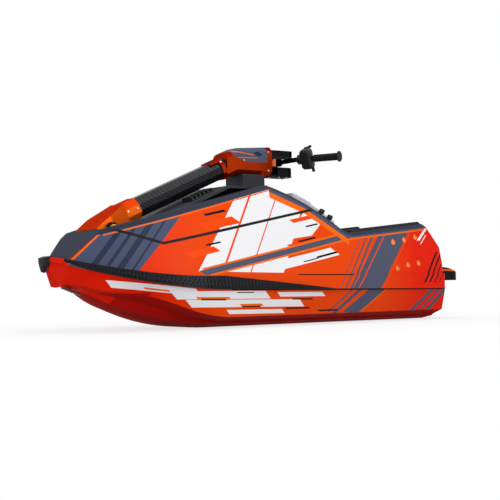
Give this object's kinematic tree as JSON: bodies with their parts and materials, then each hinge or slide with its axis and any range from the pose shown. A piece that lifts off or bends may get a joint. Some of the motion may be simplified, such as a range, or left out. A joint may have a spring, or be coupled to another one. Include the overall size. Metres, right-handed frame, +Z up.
{
  "type": "stand up personal watercraft",
  "caption": "Stand up personal watercraft with decked hull, lift-off hood, hinged handle pole, turning handlebar, open standing tray and jet drive with steered nozzle.",
  "frame": {"origin": "on the floor under mid length, where the keel pad rests", "axes": "+X to the bow, +Y to port, +Z up"},
  "size_m": [2.165, 0.7602, 0.826],
  "materials": {
    "hull_paint": "moulded gel coat, red orange, sponsons and bottom",
    "deck_paint": "moulded gel coat, orange with grey and white stripes",
    "black_rubber": "moulded rubber",
    "black_plastic": "moulded matte plastic",
    "orange_anodised": "machined aluminium, orange anodised",
    "steel": "stainless steel",
    "carbon": "carbon fibre laminate, clear coat",
    "black_anodised": "machined aluminium, black anodised",
    "grey_foam": "closed cell foam padding, light grey",
    "black_foam": "closed cell foam padding, black",
    "cast_alloy": "cast aluminium",
    "grip_rubber": "soft grip rubber",
    "engine_alloy": "cast aluminium, plain block"
  },
  "bodies": {
    "craft": {"hull": "hull_paint", "deck": "deck_paint", "hood": "deck_paint", "hood_seal": "black_rubber", "hood_insert": "black_plastic", "engine_block": "engine_alloy", "rail_port": "carbon", "rail_starboard": "carbon", "nose_bumper": "black_rubber", "tow_loop": "black_plastic", "pole_bracket": "orange_anodised", "pivot_pin": "steel", "pole_rest": "black_rubber", "hood_pad": "grey_foam", "bulkhead_pad": "grey_foam", "tray_mat": "black_foam", "gunnel_pad_port": "black_foam", "gunnel_pad_starboard": "black_foam", "foot_hold_port": "black_foam", "foot_hold_starboard": "black_foam", "pump_housing": "cast_alloy", "exit_nozzle": "cast_alloy", "ride_plate": "cast_alloy", "intake_grate": "cast_alloy", "deck_knob_front": "black_plastic", "deck_knob_rear": "black_plastic", "hood_vent_port": "black_plastic", "hood_vent_starboard": "black_plastic"},
    "pole": {"pole_base": "orange_anodised", "pole_tube": "carbon", "pole_head": "orange_anodised", "head_top_plate": "black_anodised", "head_lower_housing": "black_anodised"},
    "bar": {"steering_stem": "orange_anodised", "bar_clamp": "black_anodised", "handlebar": "steel", "grip_port": "grip_rubber", "grip_starboard": "grip_rubber", "switch_housing": "black_plastic", "throttle_lever": "black_plastic"},
    "rotor": {"drive_shaft": "steel", "impeller": "steel"},
    "nozzle": {"steering_nozzle": "cast_alloy"}
  },
  "joints": [
    {"name": "pole_lift", "type": "hinge", "parent": "craft", "child": "pole", "pos_m": [0.805, 0, 0.43], "axis": [0, 1, 0], "range_deg": [0, 60]},
    {"name": "bar_steer", "type": "hinge", "parent": "pole", "child": "bar", "pos_m": [-0.085, 0, 0.757], "axis": [0, 0, 1], "range_deg": [-32, 32]},
    {"name": "nozzle_steer", "type": "hinge", "parent": "craft", "child": "nozzle", "pos_m": [-0.932, 0, 0.098], "axis": [0, 0, 1], "range_deg": [-21, 21]},
    {"name": "impeller_spin", "type": "hinge", "parent": "craft", "child": "rotor", "pos_m": [-0.7, 0, 0.098], "axis": [1, 0, 0], "continuous": true}
  ],
  "couplings": [
    {"joint": "nozzle_steer", "follows": "bar_steer", "ratio": -0.65}
  ]
}
